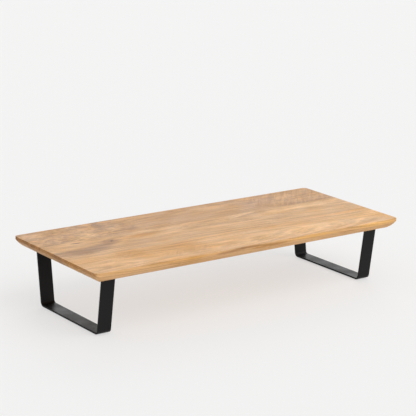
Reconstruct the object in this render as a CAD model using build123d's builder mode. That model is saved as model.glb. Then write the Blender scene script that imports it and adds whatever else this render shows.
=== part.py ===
from build123d import *
import os
from math import cos, hypot, radians, tan

# Monitor riser stand: a solid-wood board, glued up from three staves, on two
# legs bent from flat steel bar.
# Frame: X along the board, +Y to the rear, +Z up. The origin is on the floor
# under the board's centre. All sizes are in millimetres.

# Board
BOARD_LENGTH = 620.0
BOARD_DEPTH = 260.0
BOARD_THICKNESS = 18.0
OVERALL_HEIGHT = 117.0  # floor to the board's top
EDGE_FACE = 4.8  # height of the upright part of the board's edge
BEVEL_RUN = 14.2  # how far the under-bevel reaches in from the edge
BEVEL_CROWN = 1.3  # how far the curved bevel bulges past a flat one
BEVEL_SECTIONS = 5  # outlines that the bevel's surface passes through
CORNER_RADIUS = 8.0  # plan radius of the upright edge's corners
UNDER_CORNER_RADIUS = 1.5  # plan radius where the bevel meets the underside
TOP_ARRIS = 0.8  # easing of the top edge

# Legs
LEG_INSET = 27.0  # board's edge to the leg's outer faces, at ends and long sides
BAR_WIDTH = 25.0
BAR_THICKNESS = 3.0
STRUT_LEAN = 8.0  # degrees from upright, spreading towards the board
BEND_RADIUS = 5.0  # inside of each bend
BAR_ARRIS = 0.4  # easing of the bar's long edges
PLATE_THICKNESS = 3.0
PLATE_CORNER = 1.5
WELD_LEG = 3.0  # leg of the fillet weld under the plate
WELD_END_GAP = 1.5  # weld bead's end to the bar's side
WELD_CROWN = 0.4  # how far the bead's face bulges

# Screws, washers and threaded inserts (M5), in a row along each plate
SCREW_RADIUS = 2.5
SCREW_LENGTH = 12.0
SCREW_HEAD_RADIUS = 4.75
SCREW_HEAD_HEIGHT = 2.75
HEAD_CROWN_RADIUS = 2.0  # flat crown of the domed head
HEAD_RIM = 0.5  # upright rim of the domed head
HEAD_DOME = 0.5  # how far the dome stands past a straight cone
SOCKET_ACROSS_FLATS = 3.0
SOCKET_DEPTH = 1.6
SCREW_TIP_CHAMFER = 0.7
SCREW_END_DISTANCE = 23.0  # plate's end to the outer screws
INNER_SCREW_SPACING = 44.0
WASHER_RADIUS = 5.0
WASHER_THICKNESS = 1.0
INSERT_LENGTH = 10.0
INSERT_ROOT_RADIUS = 3.9
INSERT_CREST_RADIUS = 4.5
INSERT_PITCH = 2.0  # outer thread ridges
INSERT_END_BAND = 1.0  # plain band at each end
POCKET_SPARE_DEPTH = 1.5  # bottom of the board's pocket past the insert
BORE_CLEARANCE = 0.05  # screw in insert, and insert in board
HOLE_CLEARANCE = 0.25  # screw in plate and in washer

# Anti-slip pads under each foot bar
PAD_LENGTH = 45.0
PAD_WIDTH = 20.0
PAD_THICKNESS = 1.0
PAD_CORNER = 3.0
PAD_END_GAP = 1.5  # pad's outer end to the start of the bend

# Heights
foot_bottom = PAD_THICKNESS
underside = OVERALL_HEIGHT - BOARD_THICKNESS
plate_bottom = underside - PLATE_THICKNESS
washer_bottom = plate_bottom - WASHER_THICKNESS
bevel_top = OVERALL_HEIGHT - EDGE_FACE
bevel_drop = bevel_top - underside
bevel_slope = hypot(BEVEL_RUN, bevel_drop)

# Leg outline, half of it, in the YZ plane
lean = radians(STRUT_LEAN)
plate_half = BOARD_DEPTH / 2 - LEG_INSET
foot_half = plate_half - (underside - foot_bottom) * tan(lean)
strut_slice = BAR_THICKNESS / cos(lean)  # bar's thickness along Y in a leaning strut
outer_bend = BEND_RADIUS + BAR_THICKNESS
flat_half = foot_half - outer_bend * tan((radians(90) - lean) / 2)

# Across each leg, X of the bar's middle
leg_middle = BOARD_LENGTH / 2 - LEG_INSET - BAR_WIDTH / 2
sides = {"left": -leg_middle, "right": leg_middle}

outer_screw = plate_half - SCREW_END_DISTANCE
inner_screw = INNER_SCREW_SPACING / 2
screw_rows = (-outer_screw, -inner_screw, inner_screw, outer_screw)

stave_depth = BOARD_DEPTH / 3
staves = {"front": -stave_depth, "middle": 0.0, "rear": stave_depth}

pad_middle = flat_half - PAD_END_GAP - PAD_LENGTH / 2
pad_middles = {"front": -pad_middle, "rear": pad_middle}

os.makedirs("parts", exist_ok=True)


def save(piece, label):
    """Label a finished piece and write it under the same name."""
    piece.part.label = label
    export_step(piece.part, f"parts/{label}.step")


def strut_outer(z):
    """Half the distance between the struts' outer faces at height z."""
    return plate_half - (underside - z) * tan(lean)


def screw_places(middle_x):
    """XY places of one leg's screws."""
    return [(middle_x, y) for y in screw_rows]


def board_outline(share):
    """The board's outline down the bevel: share is 0 at its top, 1 at the underside."""
    bulge = 4 * BEVEL_CROWN * share * (1 - share)
    inset = BEVEL_RUN * share - bulge * bevel_drop / bevel_slope
    height = bevel_top - bevel_drop * share - bulge * BEVEL_RUN / bevel_slope
    corner = CORNER_RADIUS + (UNDER_CORNER_RADIUS - CORNER_RADIUS) * share
    with BuildSketch(Plane.XY.offset(height)) as outline:
        RectangleRounded(BOARD_LENGTH - 2 * inset, BOARD_DEPTH - 2 * inset, corner)
    return outline.sketch.face()


def board_blank():
    """The whole board: curved bevel below, upright edge above, insert pockets cut."""
    shares = [1 - step / (BEVEL_SECTIONS - 1) for step in range(BEVEL_SECTIONS)]
    outlines = [board_outline(share) for share in shares]
    with BuildPart() as board:
        loft(outlines)
        extrude(outlines[-1], amount=EDGE_FACE)
        fillet(board.edges().group_by(Axis.Z)[-1], TOP_ARRIS)
        with BuildSketch(Plane.XY.offset(underside)):
            for middle_x in sides.values():
                with Locations(screw_places(middle_x)):
                    Circle(INSERT_CREST_RADIUS + BORE_CLEARANCE)
        extrude(amount=INSERT_LENGTH + POCKET_SPARE_DEPTH, mode=Mode.SUBTRACT)
    return board


def board_stave(board, middle_y):
    """One stave: the slice of the board about middle_y."""
    with BuildPart() as stave:
        add(board.part)
        with Locations((0, middle_y, underside)):
            Box(
                BOARD_LENGTH,
                stave_depth,
                BOARD_THICKNESS,
                align=(Align.CENTER, Align.CENTER, Align.MIN),
                mode=Mode.INTERSECT,
            )
    return stave


def leg_strap(middle_x):
    """One bar bent into two struts and the foot bar, cut level at the top."""
    overshoot = underside + BAR_THICKNESS
    with BuildPart() as strap:
        with BuildSketch(Plane.YZ.offset(middle_x - BAR_WIDTH / 2)):
            with BuildLine():
                FilletPolyline(
                    (-strut_outer(overshoot), overshoot),
                    (-foot_half, foot_bottom),
                    (foot_half, foot_bottom),
                    (strut_outer(overshoot), overshoot),
                    radius=outer_bend,
                )
                offset(amount=BAR_THICKNESS, side=Side.LEFT)
            make_face()
        extrude(amount=BAR_WIDTH)
        split(bisect_by=Plane.XY.offset(plate_bottom), keep=Keep.BOTTOM)
        side_edges = strap.faces().filter_by(Axis.X).edges()
        top_cut = side_edges.filter_by_position(Axis.Z, plate_bottom, underside)
        fillet(side_edges - top_cut, BAR_ARRIS)
    return strap


def leg_plate(middle_x):
    """The plate welded across the struts and screwed up against the board."""
    with BuildPart() as plate:
        with BuildSketch(Plane.XY.offset(plate_bottom)):
            with Locations((middle_x, 0)):
                RectangleRounded(BAR_WIDTH, 2 * plate_half, PLATE_CORNER)
            with Locations(screw_places(middle_x)):
                Circle(SCREW_RADIUS + HOLE_CLEARANCE, mode=Mode.SUBTRACT)
        extrude(amount=PLATE_THICKNESS)
    return plate


def leg_welds(middle_x):
    """A weld bead in each inside corner between a strut and the plate."""
    root = (strut_outer(plate_bottom) - strut_slice, plate_bottom)
    on_plate = (root[0] - WELD_LEG, plate_bottom)
    below = plate_bottom - WELD_LEG
    on_strut = (strut_outer(below) - strut_slice, below)
    with BuildPart() as welds:
        with BuildSketch(Plane.YZ.offset(middle_x - BAR_WIDTH / 2 + WELD_END_GAP)):
            with BuildLine():
                SagittaArc(on_strut, on_plate, WELD_CROWN)
                Polyline(on_plate, root, on_strut)
            make_face()
            mirror(about=Plane.YZ)
        extrude(amount=BAR_WIDTH - 2 * WELD_END_GAP)
    return welds


def leg_washers(middle_x):
    """Plain washers between the screw heads and the plate."""
    with BuildPart() as washers:
        with BuildSketch(Plane.XY.offset(washer_bottom)):
            with Locations(screw_places(middle_x)):
                Circle(WASHER_RADIUS)
                Circle(SCREW_RADIUS + HOLE_CLEARANCE, mode=Mode.SUBTRACT)
        extrude(amount=WASHER_THICKNESS)
    return washers


def domed_screw():
    """One screw standing on its head, with the head's bearing face at Z = 0."""
    with BuildPart() as screw:
        with BuildSketch(Plane.XZ):
            with BuildLine():
                crown = (HEAD_CROWN_RADIUS, -SCREW_HEAD_HEIGHT)
                rim = (SCREW_HEAD_RADIUS, -HEAD_RIM)
                SagittaArc(crown, rim, -HEAD_DOME)
                Polyline(
                    rim,
                    (SCREW_HEAD_RADIUS, 0),
                    (SCREW_RADIUS, 0),
                    (SCREW_RADIUS, SCREW_LENGTH - SCREW_TIP_CHAMFER),
                    (SCREW_RADIUS - SCREW_TIP_CHAMFER, SCREW_LENGTH),
                    (0, SCREW_LENGTH),
                    (0, -SCREW_HEAD_HEIGHT),
                    crown,
                )
            make_face()
        revolve(axis=Axis.Z)
        with BuildSketch(Plane.XY.offset(-SCREW_HEAD_HEIGHT)):
            RegularPolygon(SOCKET_ACROSS_FLATS / 2, 6, major_radius=False)
        extrude(amount=SOCKET_DEPTH, mode=Mode.SUBTRACT)
    return screw


def threaded_insert():
    """One insert with ridges of outer thread, its lower face at Z = 0."""
    ridge_count = int((INSERT_LENGTH - 2 * INSERT_END_BAND) / INSERT_PITCH)
    bore = SCREW_RADIUS + BORE_CLEARANCE
    outline = [(bore, 0), (INSERT_ROOT_RADIUS, 0)]
    for ridge in range(ridge_count):
        start = INSERT_END_BAND + ridge * INSERT_PITCH
        outline.append((INSERT_ROOT_RADIUS, start))
        outline.append((INSERT_CREST_RADIUS, start + INSERT_PITCH / 2))
    outline.append((INSERT_ROOT_RADIUS, INSERT_END_BAND + ridge_count * INSERT_PITCH))
    outline += [(INSERT_ROOT_RADIUS, INSERT_LENGTH), (bore, INSERT_LENGTH)]
    with BuildPart() as insert:
        with BuildSketch(Plane.XZ):
            with BuildLine():
                Polyline(*outline, close=True)
            make_face()
        revolve(axis=Axis.Z)
    return insert


def in_a_row(piece, middle_x, z):
    """Copies of one piece at a leg's screw places, as separate solids."""
    with BuildPart() as row:
        with Locations([(x, y, z) for x, y in screw_places(middle_x)]):
            add(piece.part)
    return row


def foot_pad(middle_x, middle_y):
    """One anti-slip pad under a foot bar."""
    with BuildPart() as pad:
        with BuildSketch(Plane.XY):
            with Locations((middle_x, middle_y)):
                RectangleRounded(PAD_WIDTH, PAD_LENGTH, PAD_CORNER)
        extrude(amount=PAD_THICKNESS)
    return pad


blank = board_blank()
for place, middle_y in staves.items():
    save(board_stave(blank, middle_y), f"board_stave_{place}")

screw = domed_screw()
insert = threaded_insert()
for side, middle_x in sides.items():
    save(leg_strap(middle_x), f"leg_strap_{side}")
    save(leg_plate(middle_x), f"leg_plate_{side}")
    save(leg_welds(middle_x), f"leg_welds_{side}")
    save(leg_washers(middle_x), f"washers_{side}")
    save(in_a_row(screw, middle_x, washer_bottom), f"leg_screws_{side}")
    save(in_a_row(insert, middle_x, underside), f"threaded_inserts_{side}")
    for end, middle_y in pad_middles.items():
        save(foot_pad(middle_x, middle_y), f"foot_pad_{side}_{end}")
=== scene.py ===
import math

import bmesh
import bpy
from mathutils import Matrix, Vector


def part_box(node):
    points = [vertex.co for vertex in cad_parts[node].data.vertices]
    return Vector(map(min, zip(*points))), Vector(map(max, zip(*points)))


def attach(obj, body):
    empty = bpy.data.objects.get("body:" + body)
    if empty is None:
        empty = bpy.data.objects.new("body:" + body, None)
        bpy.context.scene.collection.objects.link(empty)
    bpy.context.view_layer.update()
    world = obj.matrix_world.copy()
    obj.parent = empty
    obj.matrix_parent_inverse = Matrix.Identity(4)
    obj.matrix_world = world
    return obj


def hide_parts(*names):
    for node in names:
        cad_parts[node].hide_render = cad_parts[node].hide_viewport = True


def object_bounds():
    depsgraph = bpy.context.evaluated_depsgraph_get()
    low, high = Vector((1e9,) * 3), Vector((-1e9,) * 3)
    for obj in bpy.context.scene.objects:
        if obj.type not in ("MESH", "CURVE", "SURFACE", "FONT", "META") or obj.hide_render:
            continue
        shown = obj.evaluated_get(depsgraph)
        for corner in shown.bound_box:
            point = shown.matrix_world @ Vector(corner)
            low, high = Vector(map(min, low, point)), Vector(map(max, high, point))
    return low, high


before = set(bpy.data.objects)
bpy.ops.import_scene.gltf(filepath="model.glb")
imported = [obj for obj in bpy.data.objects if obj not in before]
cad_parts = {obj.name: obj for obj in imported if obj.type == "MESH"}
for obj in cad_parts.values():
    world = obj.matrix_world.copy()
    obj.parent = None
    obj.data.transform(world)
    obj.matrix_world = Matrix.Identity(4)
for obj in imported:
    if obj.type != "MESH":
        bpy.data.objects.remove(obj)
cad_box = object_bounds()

# A monitor riser: a board glued up from three staves, on two bent-bar legs.
# Shapes are in metres, in the CAD frame. Materials measure in millimetres.

MM = 0.001
LOW, HIGH = (Vector(corner) for corner in cad_box)
SLOTS = {
    "board_stave_front": "wood_front",
    "board_stave_middle": "wood_middle",
    "board_stave_rear": "wood_rear",
    "leg_strap": "powder_coat",
    "leg_plate": "powder_coat",
    "leg_welds": "powder_coat",
    "washers": "black_oxide",
    "leg_screws": "black_oxide",
    "threaded_inserts": "brass",
    "foot_pad": "rubber",
}


# ---------------------------------------------------------------- camera, light and floor

CAMERA_PLACE = Vector((-1553.0, -2143.3, 847.5)) * MM
CAMERA_HEADING, CAMERA_TILT, CAMERA_ROLL = 35.8, -14.77, 0.91  # degrees
CAMERA_LENS = 139.38
CAMERA_CLIP = (0.05, 60)

# name: (heading, elevation, disc width, strength, colour); angles in degrees
SUNS = {
    "overhead": (0, 84, 130, 1.15, (1.0, 0.995, 0.99)),
    "key": (160, 38, 70, 1.6, (1.0, 0.985, 0.96)),
    "rear": (44, 15, 56, 1.05, (1.0, 1.0, 1.0)),
}
SURROUND = 0.25
FLOOR_GLOW = 0.56
FLOOR_COLOR = (0.32, 0.32, 0.32, 1)
FLOOR_REACH = 15
FLOOR_LEVEL = -0.0001  # just under the pads


def make_camera():
    """The camera at the photograph's viewing angle: in front, to the left and above."""
    heading, tilt, roll = (math.radians(a) for a in (CAMERA_HEADING, CAMERA_TILT, CAMERA_ROLL))
    flat = Vector((math.sin(heading), math.cos(heading), 0))
    level = Vector((math.cos(heading), -math.sin(heading), 0))
    ahead = flat * math.cos(tilt) + Vector((0, 0, math.sin(tilt)))
    upward = level.cross(ahead)
    right = level * math.cos(roll) + upward * math.sin(roll)
    up = upward * math.cos(roll) - level * math.sin(roll)
    data = bpy.data.cameras.new("camera")
    data.sensor_width = 36
    data.lens = CAMERA_LENS
    data.clip_start, data.clip_end = CAMERA_CLIP
    camera = bpy.data.objects.new("camera", data)
    camera.matrix_world = Matrix((right, up, -ahead)).transposed().to_4x4()
    camera.location = CAMERA_PLACE
    bpy.context.scene.collection.objects.link(camera)
    bpy.context.scene.camera = camera


def make_sun(name, heading, elevation, width, strength, color):
    """A broad soft light from one direction, the same strength over the whole floor."""
    data = bpy.data.lights.new(name, "SUN")
    data.angle = math.radians(width)
    data.energy = strength
    data.color = color
    sun = bpy.data.objects.new(name, data)
    turn, rise = math.radians(heading), math.radians(elevation)
    towards = Vector(
        (math.sin(turn) * math.cos(rise), math.cos(turn) * math.cos(rise), math.sin(rise))
    )
    sun.rotation_euler = towards.to_track_quat("Z", "Y").to_euler()
    bpy.context.scene.collection.objects.link(sun)


def make_surround():
    """An even, dim, white surround."""
    world = bpy.data.worlds.new("surround")
    world.use_nodes = True
    background = world.node_tree.nodes["Background"]
    background.inputs["Color"].default_value = (1, 1, 1, 1)
    background.inputs["Strength"].default_value = SURROUND
    bpy.context.scene.world = world
    bpy.context.scene.view_settings.view_transform = "Standard"


def make_floor():
    """A plain pale floor that glows a little, like a light table, and is clear from below."""
    mesh = bpy.data.meshes.new("floor")
    turns = ((-1, -1), (1, -1), (1, 1), (-1, 1))
    corners = [(x * FLOOR_REACH, y * FLOOR_REACH, FLOOR_LEVEL) for x, y in turns]
    mesh.from_pydata(corners, [], [(0, 1, 2, 3)])
    floor = bpy.data.objects.new("floor", mesh)
    bpy.context.scene.collection.objects.link(floor)
    material = bpy.data.materials.new("floor")
    material.use_nodes = True
    tree = material.node_tree
    shader = tree.nodes["Principled BSDF"]
    shader.inputs["Base Color"].default_value = FLOOR_COLOR
    shader.inputs["Roughness"].default_value = 0.95
    shader.inputs["Specular IOR Level"].default_value = 0.1
    shader.inputs["Emission Color"].default_value = (1, 1, 1, 1)
    shader.inputs["Emission Strength"].default_value = FLOOR_GLOW
    geometry = tree.nodes.new("ShaderNodeNewGeometry")
    from_above = tree.nodes.new("ShaderNodeMath")
    from_above.operation = "SUBTRACT"
    from_above.inputs[0].default_value = 1
    tree.links.new(geometry.outputs["Backfacing"], from_above.inputs[1])
    tree.links.new(from_above.outputs[0], shader.inputs["Alpha"])
    mesh.materials.append(material)


# ---------------------------------------------------------------- material helper

class Recipe:
    """A material's nodes. Places are in millimetres, in the object's own frame."""

    def __init__(self, name):
        self.material = bpy.data.materials.new(name)
        self.material.use_nodes = True
        self.tree = self.material.node_tree
        self.shader = self.tree.nodes["Principled BSDF"]
        coords = self.tree.nodes.new("ShaderNodeTexCoord")
        self.place = self.vector("SCALE", coords.outputs["Object"], scale=1 / MM)
        self.normal = coords.outputs["Normal"]
        split = self.add("SeparateXYZ", {0: self.place})
        self.x, self.y, self.z = split.outputs

    def add(self, kind, inputs, **settings):
        """A node with its settings made and its inputs fed."""
        node = self.tree.nodes.new("ShaderNode" + kind)
        for key, value in settings.items():
            setattr(node, key, value)
        for key, value in inputs.items():
            self.feed(node.inputs[key], value)
        return node

    def feed(self, socket, value):
        """Set a socket to a value, or link another socket to it."""
        if isinstance(value, bpy.types.NodeSocket):
            self.tree.links.new(value, socket)
        else:
            socket.default_value = value

    def set(self, **values):
        """Set the shader's own sockets: spaces in their names are underscores here."""
        for key, value in values.items():
            self.feed(self.shader.inputs[key.replace("_", " ")], value)

    def math(self, operation, a, b=0.0):
        """One sum with two numbers."""
        return self.add("Math", {0: a, 1: b}, operation=operation).outputs[0]

    def vector(self, operation, a, b=(0, 0, 0), scale=1.0):
        """One sum with two vectors, or with a vector and a scale."""
        node = self.add("VectorMath", {0: a, 1: b, 3: scale}, operation=operation)
        return node.outputs["Value" if operation == "LENGTH" else "Vector"]

    def turned(self, place, centre, size, turn=0.0):
        """The place as seen from a centre, turned in plan, in units of a size."""
        node = self.add(
            "Mapping",
            {0: place, "Location": centre, "Rotation": (0, 0, math.radians(turn)), "Scale": size},
            vector_type="TEXTURE",
        )
        return node.outputs[0]

    def noise(self, place, size, detail=2.0, rough=0.5, warp=0.0):
        """Noise from 0 to 1 whose features are about as large as size, one for each axis."""
        shape = self.turned(place, (0, 0, 0), size)
        look = {"Scale": 1.0, "Detail": detail, "Roughness": rough, "Distortion": warp}
        return self.add("TexNoise", {0: shape, **look}).outputs[0]

    def between(self, value, low, high, first=0.0, last=1.0):
        """Smoothly from first at low to last at high, and level past both."""
        node = self.add(
            "MapRange",
            {"Value": value, "From Min": low, "From Max": high, "To Min": first, "To Max": last},
            interpolation_type="SMOOTHSTEP",
        )
        return node.outputs[0]

    def blend(self, amount, a, b, mode="MIX"):
        """Two colours mixed by an amount from 0 to 1."""
        node = self.add("Mix", {0: amount, 6: a, 7: b}, data_type="RGBA", blend_type=mode)
        return node.outputs[2]

    def shade(self, color, factor):
        """A colour made darker or lighter by a factor."""
        return self.vector("SCALE", color, scale=factor)

    def relief(self, height, depth, strength=1.0):
        """Raise the surface by a height from 0 to 1, times a depth in millimetres."""
        bump = self.add("Bump", {"Height": height, "Distance": depth * MM, "Strength": strength})
        self.feed(self.shader.inputs["Normal"], bump.outputs[0])


# ---------------------------------------------------------------- wood

TAN = (0.720, 0.425, 0.200, 1)
HONEY = (0.600, 0.310, 0.095, 1)
PINKISH = (0.500, 0.276, 0.120, 1)
UMBER = (0.220, 0.100, 0.040, 1)
SMOKE = (0.325, 0.180, 0.092, 1)
STRAW = (0.800, 0.500, 0.245, 1)
KNOT = (0.080, 0.040, 0.020, 1)

MID_BOARD = 110  # a height inside the board, for places that go right through it

# Each stave: its colours, the line that its growth rings are centred on (Y and Z, and
# their change along X), the rings' spacing, and where its colour changes. A place is
# (centre, half sizes, turn in plan, colour, strength), in millimetres and degrees. A burl
# or flame region is (X, Y, half size in X, half size in Y, strength).
STAVES = {
    "front": {
        "light": TAN,
        "late": (0.520, 0.275, 0.095, 1),
        "drift": HONEY,
        "pith": (-100, 66, 0.012, -0.035),
        "ring": 5.2,
        "seed": 11.0,
        "places": [
            ((-140, -74, MID_BOARD), (105, 40, 60), -14, HONEY, 0.95),
            ((-105, -62, MID_BOARD), (48, 18, 60), 10, (0.540, 0.265, 0.070, 1), 0.75),
            ((-160, -84, MID_BOARD), (66, 24, 60), -8, (0.580, 0.290, 0.072, 1), 0.65),
            ((265, -47, MID_BOARD), (70, 7, 40), 2, (0.660, 0.320, 0.075, 1), 0.7),
            ((302, -82, MID_BOARD), (24, 42, 60), 0, (0.770, 0.430, 0.150, 1), 0.45),
            ((150, -95, MID_BOARD), (180, 26, 60), 3, STRAW, 0.6),
            ((-58, -130, 112.8), (30, 5, 2.6), 0, (0.340, 0.170, 0.075, 1), 0.7),
            ((-20, -130, 115.2), (32, 4, 2.2), 0, (0.340, 0.170, 0.075, 1), 0.7),
            ((30, -130, 111), (46, 5, 4.0), 0, (0.460, 0.215, 0.060, 1), 0.8),
            ((120, -131, 113), (70, 5, 4.0), 0, (0.800, 0.440, 0.130, 1), 0.6),
            ((262, -131, 113), (60, 7, 6.0), 0, (0.880, 0.500, 0.165, 1), 0.7),
            ((200, -126, MID_BOARD), (34, 5, 2.5), 0, (0.460, 0.215, 0.060, 1), 0.6),
            # Darker left end: partly the wood's own tone, partly painted shade, darker towards the
            # left as if lit from the right
            ((-300, -100, MID_BOARD), (40, 36, 60), 0, (0.590, 0.350, 0.170, 1), 0.5),
        ],
        "flame": (-112, -100, 50, 20, 0.4),
    },
    "middle": {
        "light": (0.640, 0.375, 0.175, 1),
        "late": (0.470, 0.250, 0.100, 1),
        "drift": (0.560, 0.310, 0.120, 1),
        "pith": (22, 44, -0.022, 0.03),
        "ring": 6.0,
        "seed": 37.0,
        "places": [
            ((-262, -11, MID_BOARD), (66, 22, 60), 4, SMOKE, 0.85),
            ((-212, 4, MID_BOARD), (52, 13, 60), 20, SMOKE, 0.75),
            ((-128, 20, MID_BOARD), (42, 11, 60), 2, (0.560, 0.270, 0.075, 1), 0.85),
            ((-160, -20, MID_BOARD), (60, 20, 60), 6, PINKISH, 0.55),
            ((-246, 34, 114), (15, 2.6, 9), -8, KNOT, 0.95),
            ((-190, 17, 114), (6.5, 4.0, 10), 50, KNOT, 1.0),
            ((-196, 19, 114), (22, 9, 14), 30, (0.380, 0.190, 0.080, 1), 0.6),
            ((150, 14, MID_BOARD), (70, 12, 60), 4, HONEY, 0.35),
            ((220, 24, MID_BOARD), (110, 12, 60), 2, STRAW, 0.5),
            ((240, -22, MID_BOARD), (90, 14, 60), 3, STRAW, 0.35),
        ],
    },
    "rear": {
        "light": (0.556, 0.308, 0.130, 1),
        "late": (0.390, 0.205, 0.085, 1),
        "drift": PINKISH,
        "pith": (112, 72, 0.018, -0.024),
        "ring": 5.5,
        "seed": 71.0,
        "places": [
            ((-160, 108, MID_BOARD), (12, 28, 60), -8, (0.320, 0.170, 0.085, 1), 0.6),
            # Darker brown patch: partly the wood's own tone, partly a painted cast shadow of
            # something standing on the board
            ((-122, 74, MID_BOARD), (18, 24, 60), -20, (0.330, 0.175, 0.085, 1), 0.5),
            ((-215, 62, MID_BOARD), (36, 16, 60), 20, STRAW, 0.4),
            ((-285, 100, MID_BOARD), (30, 28, 60), 0, (0.650, 0.385, 0.205, 1), 0.5),
            ((158, 85, MID_BOARD), (44, 30, 60), 10, (0.440, 0.250, 0.140, 1), 0.5),
            ((240, 50, MID_BOARD), (80, 9, 60), 0, (0.390, 0.210, 0.105, 1), 0.5),
            ((115, 80, 112), (3.5, 3, 8), 0, UMBER, 0.7),
        ],
        "burl": (-230, 90, 130, 60, 1.0),
        "flame": (235, 92, 85, 60, 1.0),
    },
}
SWAY = 24.0  # how far the rings wander over the board's length
SWELL = 4.0  # and over a hand's breadth
GLUE_LINE = 0.12  # half the width of the glue line's shading
GLUE_SHADE = 0.72  # how dark the glue line is against the wood
RING_STRENGTH = 0.5  # how far late wood takes its own colour
DRIFT_STRENGTH = 0.8  # and how far the slow drift along the stave does

# The darkest and lightest factors of each layer of the grain
STREAK_SHADES = (0.87, 1.11)
LINE_SHADES = (0.90, 1.08)
FIBRE_SHADES = (0.92, 1.07)
BURL_SHADES = (0.78, 1.18)
FLAME_SHADES = (0.89, 1.12)
FLAME_TURN = 52  # degrees from the board's length

PORE_SPACING = 0.85
PORE_LENGTH = 7.5
PORE_TURN = 1.5  # degrees from the board's length
PORE_SIZES = (0.10, 0.30)  # half widths, against the spacing
PORE_SHADE = 0.70

END_SHADES = (0.8736, 1.1856)
END_TINT = (0.80, 0.70, 0.60, 1)

WOOD_GLOSS = (0.42, 0.54)  # roughness, from the most to the least polished
PORE_ROUGHNESS = 0.25  # what an open pore adds to it
END_ROUGHNESS = 0.15  # and what end grain adds
WOOD_SPECULAR = 0.15
WOOD_RELIEF = 0.06
END_FACING = (0.60, 0.97)  # how squarely a face looks along the grain: where ends begin


def ring_radius(recipe, stave):
    """Distance from the stave's pith line, wandering as a tree's rings do."""
    pith_y, pith_z, lean_y, lean_z = stave["pith"]
    seeded = recipe.vector("ADD", recipe.place, (stave["seed"] * 31, stave["seed"], 0))
    sway = recipe.noise(seeded, (340, 60, 60), 2.0, 0.45, 0.4)
    swell = recipe.noise(seeded, (150, 12, 12), 2.0, 0.5)
    across = recipe.math("SUBTRACT", recipe.y, pith_y)
    across = recipe.math("SUBTRACT", across, recipe.math("MULTIPLY", recipe.x, lean_y))
    upward = recipe.math("SUBTRACT", recipe.z, pith_z)
    upward = recipe.math("SUBTRACT", upward, recipe.math("MULTIPLY", recipe.x, lean_z))
    square = recipe.math("ADD", recipe.math("POWER", across, 2.0), recipe.math("POWER", upward, 2.0))
    radius = recipe.math("SQRT", square)
    radius = recipe.math("ADD", radius, recipe.math("MULTIPLY", sway, SWAY))
    return recipe.math("ADD", radius, recipe.math("MULTIPLY", swell, SWELL))


def growth_rings(recipe, radius, spacing):
    """Growth rings: 0 in early wood, 1 in late wood."""
    phase = recipe.math("FRACT", recipe.math("DIVIDE", radius, spacing))
    rise = recipe.between(phase, 0.15, 0.85)
    fall = recipe.between(phase, 0.88, 1.0, 1.0, 0.0)
    return recipe.math("MULTIPLY", rise, fall)


def place_mask(recipe, centre, sizes, turn):
    """1 inside a soft, ragged ellipsoid and 0 well outside it."""
    local = recipe.turned(recipe.place, centre, sizes, turn)
    reach = recipe.vector("LENGTH", local)
    ragged = recipe.noise(recipe.place, (sizes[0] * 0.45, sizes[1] * 0.45, 20), 3.0, 0.6, 0.5)
    reach = recipe.math("ADD", reach, recipe.math("MULTIPLY", ragged, 1.1))
    return recipe.between(reach, 0.85, 1.75, 1.0, 0.0)


def region_mask(recipe, region):
    """A region's strength inside it, fading to 0 outside it."""
    middle_x, middle_y, half_x, half_y, strength = region
    local = recipe.turned(recipe.place, (middle_x, middle_y, MID_BOARD), (half_x, half_y, 60))
    return recipe.between(recipe.vector("LENGTH", local), 0.75, 1.25, strength, 0.0)


def burl_figure(recipe, color, region):
    """Swirling mottle, as where the grain runs in and out of the face."""
    warped = recipe.noise(recipe.place, (27, 15, 20), 4.0, 0.6, 1.3)
    light = recipe.between(warped, 0.36, 0.64, *BURL_SHADES)
    curls = recipe.shade(color, light)
    return recipe.blend(region_mask(recipe, region), color, curls)


def flame_figure(recipe, color, region):
    """Streaks that cross the stave on the slant, as on a quartered face."""
    slanted = recipe.turned(recipe.place, (0, 0, 0), (1, 1, 1), FLAME_TURN)
    streak = recipe.noise(slanted, (64, 6, 30), 2.0, 0.55, 0.7)
    flame = recipe.shade(color, recipe.between(streak, 0.36, 0.66, *FLAME_SHADES))
    return recipe.blend(region_mask(recipe, region), color, flame)


def pores(recipe):
    """Short fine vessels along the grain: 1 in a pore, 0 between them."""
    pitch = (PORE_LENGTH, PORE_SPACING, PORE_SPACING)
    stretched = recipe.turned(recipe.place, (0, 0, 0), pitch, PORE_TURN)
    cells = recipe.add("TexVoronoi", {0: stretched, "Scale": 1.0, "Randomness": 1.0})
    crowd = recipe.noise(recipe.place, (60, 9, 9), 2.0, 0.5)
    size = recipe.between(crowd, 0.35, 0.7, *PORE_SIZES)
    gap = recipe.math("SUBTRACT", cells.outputs[0], size)
    return recipe.between(gap, -0.06, 0.06, 1.0, 0.0)


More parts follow.
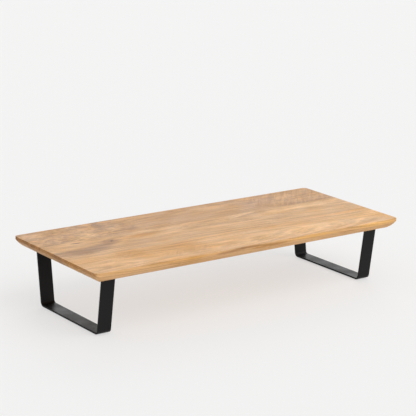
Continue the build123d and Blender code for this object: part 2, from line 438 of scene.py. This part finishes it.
def wood(name, stave):
    """Oiled solid hardwood, worked out through the stave's whole thickness."""
    recipe = Recipe(name)
    radius = ring_radius(recipe, stave)
    rings = growth_rings(recipe, radius, stave["ring"])
    late_share = recipe.math("MULTIPLY", rings, RING_STRENGTH)
    color = recipe.blend(late_share, stave["light"], stave["late"])
    seeded = recipe.vector("ADD", recipe.place, (stave["seed"] * 17, 0, stave["seed"]))
    drift = recipe.noise(seeded, (150, 24, 30), 3.0, 0.55, 0.8)
    drifted = recipe.between(drift, 0.42, 0.68, 0.0, DRIFT_STRENGTH)
    color = recipe.blend(drifted, color, stave["drift"])
    for centre, sizes, turn, tint, strength in stave["places"]:
        mask = place_mask(recipe, centre, sizes, turn)
        color = recipe.blend(recipe.math("MULTIPLY", mask, strength), color, tint)
    if "burl" in stave:
        color = burl_figure(recipe, color, stave["burl"])
    if "flame" in stave:
        color = flame_figure(recipe, color, stave["flame"])
    layered = recipe.add("CombineXYZ", {0: recipe.x, 1: radius, 2: recipe.y}).outputs[0]
    streaks = recipe.noise(layered, (95, 2.4, 16), 4.0, 0.62, 0.2)
    color = recipe.shade(color, recipe.between(streaks, 0.36, 0.64, *STREAK_SHADES))
    lines = recipe.noise(layered, (48, 0.9, 7), 3.0, 0.6)
    color = recipe.shade(color, recipe.between(lines, 0.34, 0.66, *LINE_SHADES))
    fibre = recipe.noise(seeded, (26, 0.55, 0.55), 3.0, 0.6)
    color = recipe.shade(color, recipe.between(fibre, 0.25, 0.75, *FIBRE_SHADES))
    pore = pores(recipe)
    color = recipe.shade(color, recipe.between(pore, 0.0, 1.0, 1.0, PORE_SHADE))
    color = recipe.shade(color, glue_shade(recipe))
    color, end = end_grain(recipe, color)
    finish = recipe.noise(recipe.place, (40, 25, 25), 2.0, 0.5)
    gloss = recipe.between(finish, 0.3, 0.7, *WOOD_GLOSS)
    gloss = recipe.math("ADD", gloss, recipe.math("MULTIPLY", pore, PORE_ROUGHNESS))
    gloss = recipe.math("ADD", gloss, recipe.math("MULTIPLY", end, END_ROUGHNESS))
    recipe.set(Base_Color=color, Roughness=gloss, Specular_IOR_Level=WOOD_SPECULAR)
    height = recipe.math("SUBTRACT", recipe.math("MULTIPLY", fibre, 0.4), pore)
    recipe.relief(height, WOOD_RELIEF, 0.6)
    return recipe.material


def glue_shade(recipe):
    """A hairline of shade where two staves meet."""
    joint = (HIGH.y - LOW.y) / 2 / len(STAVES) / MM
    from_middle = recipe.math("ABSOLUTE", recipe.y)
    reach = recipe.math("ABSOLUTE", recipe.math("SUBTRACT", from_middle, joint))
    return recipe.between(reach, GLUE_LINE, 4 * GLUE_LINE, GLUE_SHADE, 1.0)


def end_grain(recipe, color):
    """Ends drink more oil, so they are darker and warmer, with open pores.

    Gives the colour, and how far each point is end grain.
    """
    facing = recipe.add("SeparateXYZ", {0: recipe.normal}).outputs[0]
    end = recipe.between(recipe.math("ABSOLUTE", facing), *END_FACING)
    dots = recipe.noise(recipe.place, (6, 0.7, 0.7), 3.0, 0.65)
    dark = recipe.blend(1.0, color, END_TINT, "MULTIPLY")
    dark = recipe.shade(dark, recipe.between(dots, 0.3, 0.7, *END_SHADES))
    return recipe.blend(end, color, dark), end


# ---------------------------------------------------------------- metal and rubber

# Two colours that a slow noise mixes, or one colour that wear or dust brings in
COAT = ((0.0045, 0.0045, 0.0050, 1), (0.0080, 0.0079, 0.0083, 1))
COAT_WORN = (0.020, 0.0195, 0.019, 1)
COAT_GLOSS = (0.40, 0.50)
COAT_SPECULAR = 0.16
OXIDE = ((0.012, 0.012, 0.014, 1), (0.036, 0.034, 0.033, 1))
OXIDE_RUBBED = (0.11, 0.105, 0.10, 1)
BRASS = ((0.74, 0.50, 0.19, 1), (0.42, 0.26, 0.10, 1))
RUBBER = (0.020, 0.020, 0.021, 1)
RUBBER_DUST = (0.085, 0.08, 0.075, 1)
STIPPLE = (1.2, 1.2, 1.2)  # pitch of the pads' raised dots


def powder_coat():
    """Fine-textured matt black powder coat, thinner and a little paler on the bars' edges."""
    recipe = Recipe("powder_coat")
    cloud = recipe.noise(recipe.place, (30, 30, 30), 2.0, 0.5)
    grain = recipe.noise(recipe.place, (0.55, 0.55, 0.55), 2.0, 0.5)
    color = recipe.blend(cloud, *COAT)
    edge = bar_edges(recipe)
    worn = recipe.math("MULTIPLY", edge, recipe.between(grain, 0.35, 0.75, 0.15, 0.7))
    color = recipe.blend(worn, color, COAT_WORN)
    gloss = recipe.between(cloud, 0.3, 0.7, *COAT_GLOSS)
    gloss = recipe.math("SUBTRACT", gloss, recipe.math("MULTIPLY", worn, 0.10))
    recipe.set(Base_Color=color, Roughness=gloss, Specular_IOR_Level=COAT_SPECULAR)
    orange_peel = recipe.noise(recipe.place, (1.6, 1.6, 1.6), 1.0, 0.5)
    height = recipe.math("ADD", grain, orange_peel)
    recipe.relief(height, 0.05, 0.55)
    return recipe.material


def bar_edges(recipe):
    """1 along the long edges of the two legs' bars, 0 over their faces."""
    strap_low, strap_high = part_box("leg_strap_right")
    middle = (strap_low[0] + strap_high[0]) / 2 / MM
    half = (strap_high[0] - strap_low[0]) / 2 / MM
    from_middle = recipe.math("SUBTRACT", recipe.math("ABSOLUTE", recipe.x), middle)
    across = recipe.math("ABSOLUTE", from_middle)
    facing = recipe.add("SeparateXYZ", {0: recipe.normal}).outputs[0]
    facing = recipe.math("ABSOLUTE", facing)
    turning = recipe.between(facing, 0.15, 0.5)
    square = recipe.between(facing, 0.85, 0.99, 1.0, 0.0)
    near = recipe.between(across, half - 0.6, half - 0.1)
    return recipe.math("MULTIPLY", near, recipe.math("MULTIPLY", turning, square))


def black_oxide():
    """Blackened screws and washers, slightly oily, with brighter rubbed spots."""
    recipe = Recipe("black_oxide")
    cloud = recipe.noise(recipe.place, (2.2, 2.2, 2.2), 3.0, 0.6)
    rub = recipe.between(recipe.noise(recipe.place, (0.7, 0.7, 0.7), 2.0, 0.6), 0.55, 0.75)
    color = recipe.blend(cloud, *OXIDE)
    color = recipe.blend(recipe.math("MULTIPLY", rub, 0.4), color, OXIDE_RUBBED)
    gloss = recipe.between(cloud, 0.3, 0.7, 0.26, 0.42)
    recipe.set(Base_Color=color, Roughness=gloss, Metallic=0.75)
    turning_marks = recipe.noise(recipe.place, (0.25, 0.25, 0.08), 2.0, 0.5)
    recipe.relief(turning_marks, 0.02, 0.5)
    return recipe.material


def brass():
    """Turned brass inserts, with faint tarnish."""
    recipe = Recipe("brass")
    tarnish = recipe.noise(recipe.place, (1.8, 1.8, 1.8), 3.0, 0.6)
    color = recipe.blend(tarnish, *BRASS)
    gloss = recipe.between(tarnish, 0.3, 0.7, 0.24, 0.45)
    recipe.set(Base_Color=color, Roughness=gloss, Metallic=1.0)
    lines = recipe.noise(recipe.place, (3, 3, 0.12), 2.0, 0.5)
    recipe.relief(lines, 0.03, 0.5)
    return recipe.material


def rubber():
    """Anti-slip pads: matt dark rubber with a fine stipple and a little dust."""
    recipe = Recipe("rubber")
    cells = recipe.turned(recipe.place, (0, 0, 0), STIPPLE)
    stipple = recipe.add("TexVoronoi", {0: cells, "Scale": 1.0})
    dust = recipe.noise(recipe.place, (9, 9, 9), 4.0, 0.6)
    color = recipe.blend(recipe.between(dust, 0.4, 0.8, 0.0, 0.5), RUBBER, RUBBER_DUST)
    gloss = recipe.between(dust, 0.3, 0.7, 0.72, 0.88)
    recipe.set(Base_Color=color, Roughness=gloss)
    dome = recipe.between(stipple.outputs[0], 0.0, 0.5, 1.0, 0.0)
    recipe.relief(dome, 0.18, 0.8)
    return recipe.material


# ---------------------------------------------------------------- weld beads

LEAN = math.radians(8)  # the struts' lean from upright
BEAD_CROWN = 0.35  # share of the bead's leg that its face stands proud by
BEAD_FORWARD = 0.22  # share of the leg that each ripple's middle runs ahead by
BEAD_RIPPLES = 15
STEPS_PER_RIPPLE = 8
FACE_STEPS = 12
TAPER_START = 0.35  # the taper's value at the bead's very ends
TAPER_RATE = 12  # how fast it rises to 1, over the bead's length


def bead_face_point(step, swell):
    """A point across the bead's face, as shares of its leg from the root: in and down."""
    share = step / FACE_STEPS
    inward, down = 1 - share, share
    proud = BEAD_CROWN * 4 * share * (1 - share) * swell
    diagonal = math.sqrt(0.5)
    return inward + proud * diagonal, down + proud * diagonal


def weld_bead(mesh, start_x, length, root_y, root_z, leg, side):
    """One bead from start_x, rippled like overlapping coins, closed all round.

    The root is the inside corner between strut and plate, and side is the strut's, -1 or 1.
    """
    count = BEAD_RIPPLES * STEPS_PER_RIPPLE
    loops = []
    for index in range(count + 1):
        along = index / count
        ripple = (index % STEPS_PER_RIPPLE) / STEPS_PER_RIPPLE
        from_end = min(along, 1 - along)
        taper = min(1.0, from_end * TAPER_RATE + TAPER_START)
        wave = 0.55 + 0.45 * math.sqrt(max(0.0, 1 - ripple * ripple))
        wander = 1 + 0.05 * math.sin(along * 23.0) + 0.04 * math.sin(along * 51.0)
        reach = leg * wander * (0.90 + 0.10 * wave) * (0.6 + 0.4 * taper)
        inside = 0 < index < count
        points = [mesh.verts.new((start_x + along * length, root_y, root_z))]
        for step in range(FACE_STEPS + 1):
            inward, down = bead_face_point(step, 0.55 + 0.6 * wave)
            share = step / FACE_STEPS
            forward = leg * BEAD_FORWARD * 4 * share * (1 - share) if inside else 0
            x = start_x + along * length + forward
            y = root_y - side * reach * (inward + down * math.tan(LEAN))
            points.append(mesh.verts.new((x, y, root_z - reach * down)))
        loops.append(points)
    size = len(loops[0])
    for first, second in zip(loops, loops[1:]):
        for corner in range(size):
            following = (corner + 1) % size
            mesh.faces.new((first[corner], first[following], second[following], second[corner]))
    mesh.faces.new(loops[0][::-1])
    mesh.faces.new(loops[-1])


def make_welds(leg, material):
    """Both beads under one leg's plate, in place of its plain CAD beads."""
    low, high = (Vector(corner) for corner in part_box(f"leg_welds_{leg}"))
    leg_length = high.z - low.z
    mesh = bmesh.new()
    for side in (-1, 1):
        weld_bead(mesh, low.x, high.x - low.x, side * high.y, high.z, leg_length, side)
    bmesh.ops.recalc_face_normals(mesh, faces=mesh.faces)
    data = bpy.data.meshes.new(f"weld_beads_{leg}")
    mesh.to_mesh(data)
    mesh.free()
    data.shade_smooth()
    data.materials.append(material)
    piece = bpy.data.objects.new(f"weld_beads_{leg}", data)
    bpy.context.scene.collection.objects.link(piece)
    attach(piece, "root")
    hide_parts(f"leg_welds_{leg}")


# ---------------------------------------------------------------- finish of the CAD nodes

SHARP_ANGLE = math.radians(28)


def smooth_curves(data):
    """Shade curved faces as one surface, and keep real corners crisp."""
    mesh = bmesh.new()
    mesh.from_mesh(data)
    for face in mesh.faces:
        face.smooth = True
    for edge in mesh.edges:
        edge.smooth = len(edge.link_faces) == 2 and edge.calc_face_angle() < SHARP_ANGLE
    mesh.to_mesh(data)
    mesh.free()


def finish_nodes(materials):
    """Give every CAD node its material and its shading."""
    for name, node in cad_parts.items():
        kind = next(kind for kind in SLOTS if name.startswith(kind))
        node.data.materials.clear()
        node.data.materials.append(materials[SLOTS[kind]])
        smooth_curves(node.data)


make_camera()
for sun_name, sun_values in SUNS.items():
    make_sun(sun_name, *sun_values)
make_surround()
make_floor()

materials = {f"wood_{place}": wood(f"wood_{place}", stave) for place, stave in STAVES.items()}
materials["powder_coat"] = powder_coat()
materials["black_oxide"] = black_oxide()
materials["brass"] = brass()
materials["rubber"] = rubber()
finish_nodes(materials)
for leg in ("left", "right"):
    make_welds(leg, materials["powder_coat"])
